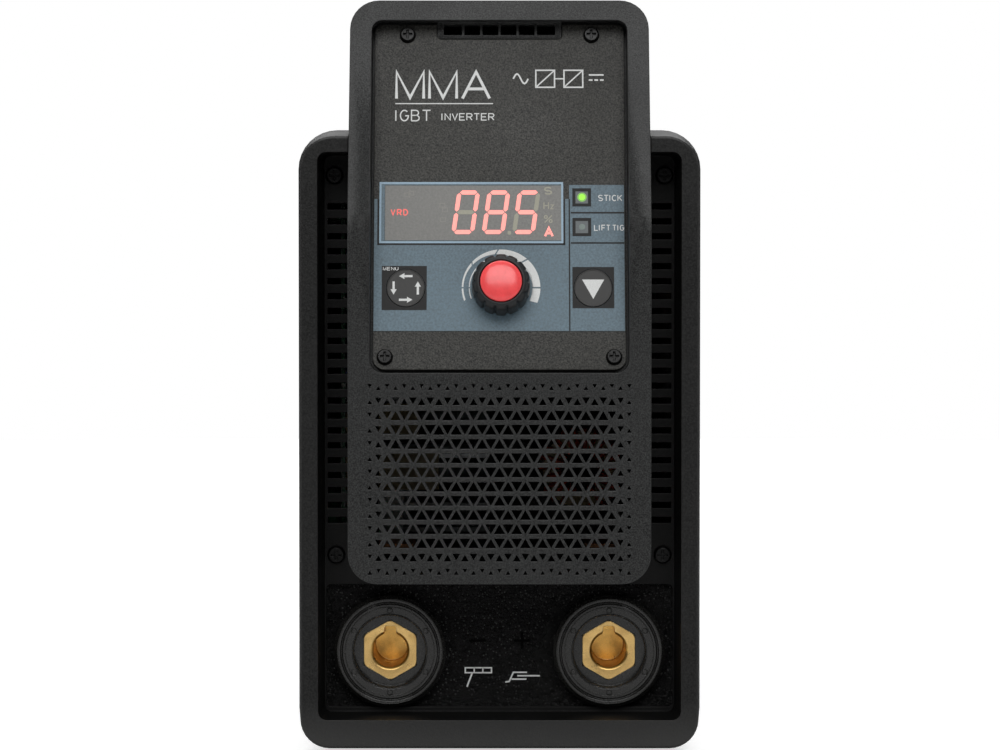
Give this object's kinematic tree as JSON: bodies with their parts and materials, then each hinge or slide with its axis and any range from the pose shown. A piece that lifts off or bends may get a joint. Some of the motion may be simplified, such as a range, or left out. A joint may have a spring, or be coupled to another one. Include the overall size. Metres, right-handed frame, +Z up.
{
  "type": "stick welding inverter",
  "caption": "Portable stick welding inverter: tall case with looped front frame, leaning control panel with knob and keys, twin output sockets, rear fan and carrying handle.",
  "frame": {"origin": "on the floor under the middle of the machine's bounding box", "axes": "+Z up, the front with panel and sockets looks along -Y, +X to the right as seen from the front"},
  "size_m": [0.1536, 0.32, 0.2854],
  "materials": {
    "case_black": "fine moulded texture, satin",
    "loop_black": "fine moulded texture, satin",
    "panel_black": "spark-eroded texture, matt",
    "overlay_film": "screen-printed polyester film, matt",
    "display_glass": "smoked, matt front",
    "display_body": "moulded",
    "led_green": "diffused lens",
    "board_green": "solder mask",
    "part_black": "moulded",
    "knob_black": "soft-touch moulding",
    "knob_red": "glossy",
    "key_black": "embossed film, matt",
    "zinc": "zinc plated",
    "screw_black": "black passivated",
    "steel_black": "textured powder coat",
    "base_steel": "galvanised",
    "rubber_black": "moulded",
    "brass": "turned",
    "copper": "rolled copper bar",
    "heatsink": "extruded",
    "ferrite": "sintered",
    "tape_yellow": "winding tape",
    "enamel_red": "enamelled wire",
    "capacitor_sleeve": "shrink sleeve",
    "lead_blue": "PVC insulation",
    "lead_brown": "PVC insulation",
    "switch_red": "glossy",
    "rating_silver": "anodised, blank"
  },
  "bodies": {
    "case": {"front_bezel": "case_black", "front_frame": "loop_black", "control_panel": "panel_black", "panel_overlay": "overlay_film", "display_window": "display_glass", "display_module": "display_body", "mode_leds": "led_green", "control_board": "board_green", "tact_switches": "part_black", "encoder_body": "zinc", "encoder_nut": "zinc", "console_shell": "case_black", "carry_handle": "case_black", "handle_screws": "screw_black", "negative_collar": "part_black", "positive_collar": "part_black", "negative_insert": "brass", "positive_insert": "brass", "socket_ring_nuts": "part_black", "insert_nuts": "brass", "output_busbars": "copper", "top_cover": "steel_black", "base_pan": "base_steel", "feet": "rubber_black", "foot_screws": "zinc", "rear_panel": "case_black", "fan_guard": "zinc", "fan_frame": "part_black", "fan_screws": "zinc", "power_switch_body": "part_black", "cable_gland": "part_black", "cable_gland_nut": "part_black", "earth_stud": "brass", "rating_plate": "rating_silver", "main_board": "board_green", "board_standoffs": "zinc", "primary_heatsink": "heatsink", "secondary_heatsink": "heatsink", "power_transistors": "part_black", "output_diodes": "part_black", "transformer_core": "ferrite", "transformer_winding": "tape_yellow", "choke_core": "tape_yellow", "choke_winding": "enamel_red", "bulk_capacitors": "capacitor_sleeve", "film_capacitors": "tape_yellow", "bridge_rectifier": "part_black", "control_lead": "lead_blue", "switch_leads": "lead_brown", "front_screws": "screw_black", "rear_screws": "screw_black", "panel_screws": "screw_black", "cover_screws": "screw_black"},
    "control_knob": {"encoder_shaft": "zinc", "knob_body": "knob_black", "knob_cap": "knob_red"},
    "menu_key": {"menu_button": "key_black"},
    "select_key": {"select_button": "key_black"},
    "power_rocker": {"power_switch_rocker": "switch_red"},
    "fan_impeller": {"fan_rotor": "part_black"}
  },
  "joints": [
    {"name": "knob_turn", "type": "hinge", "parent": "case", "child": "control_knob", "pos_m": [0.0006, -0.14644, 0.17739], "axis": [0, -0.9744, 0.225], "continuous": true},
    {"name": "menu_press", "type": "slide", "parent": "case", "child": "menu_key", "axis": [0, 0.9744, -0.225], "range_m": [0, 0.0006], "stiffness_N_per_m": 700},
    {"name": "select_press", "type": "slide", "parent": "case", "child": "select_key", "axis": [0, 0.9744, -0.225], "range_m": [0, 0.0006], "stiffness_N_per_m": 700},
    {"name": "power_rock", "type": "hinge", "parent": "case", "child": "power_rocker", "pos_m": [-0.032, 0.1356, 0.19], "axis": [1, 0, 0], "range_deg": [-20, 0]},
    {"name": "fan_spin", "type": "hinge", "parent": "case", "child": "fan_impeller", "pos_m": [0, 0.1246, 0.092], "axis": [0, 1, 0], "continuous": true}
  ]
}
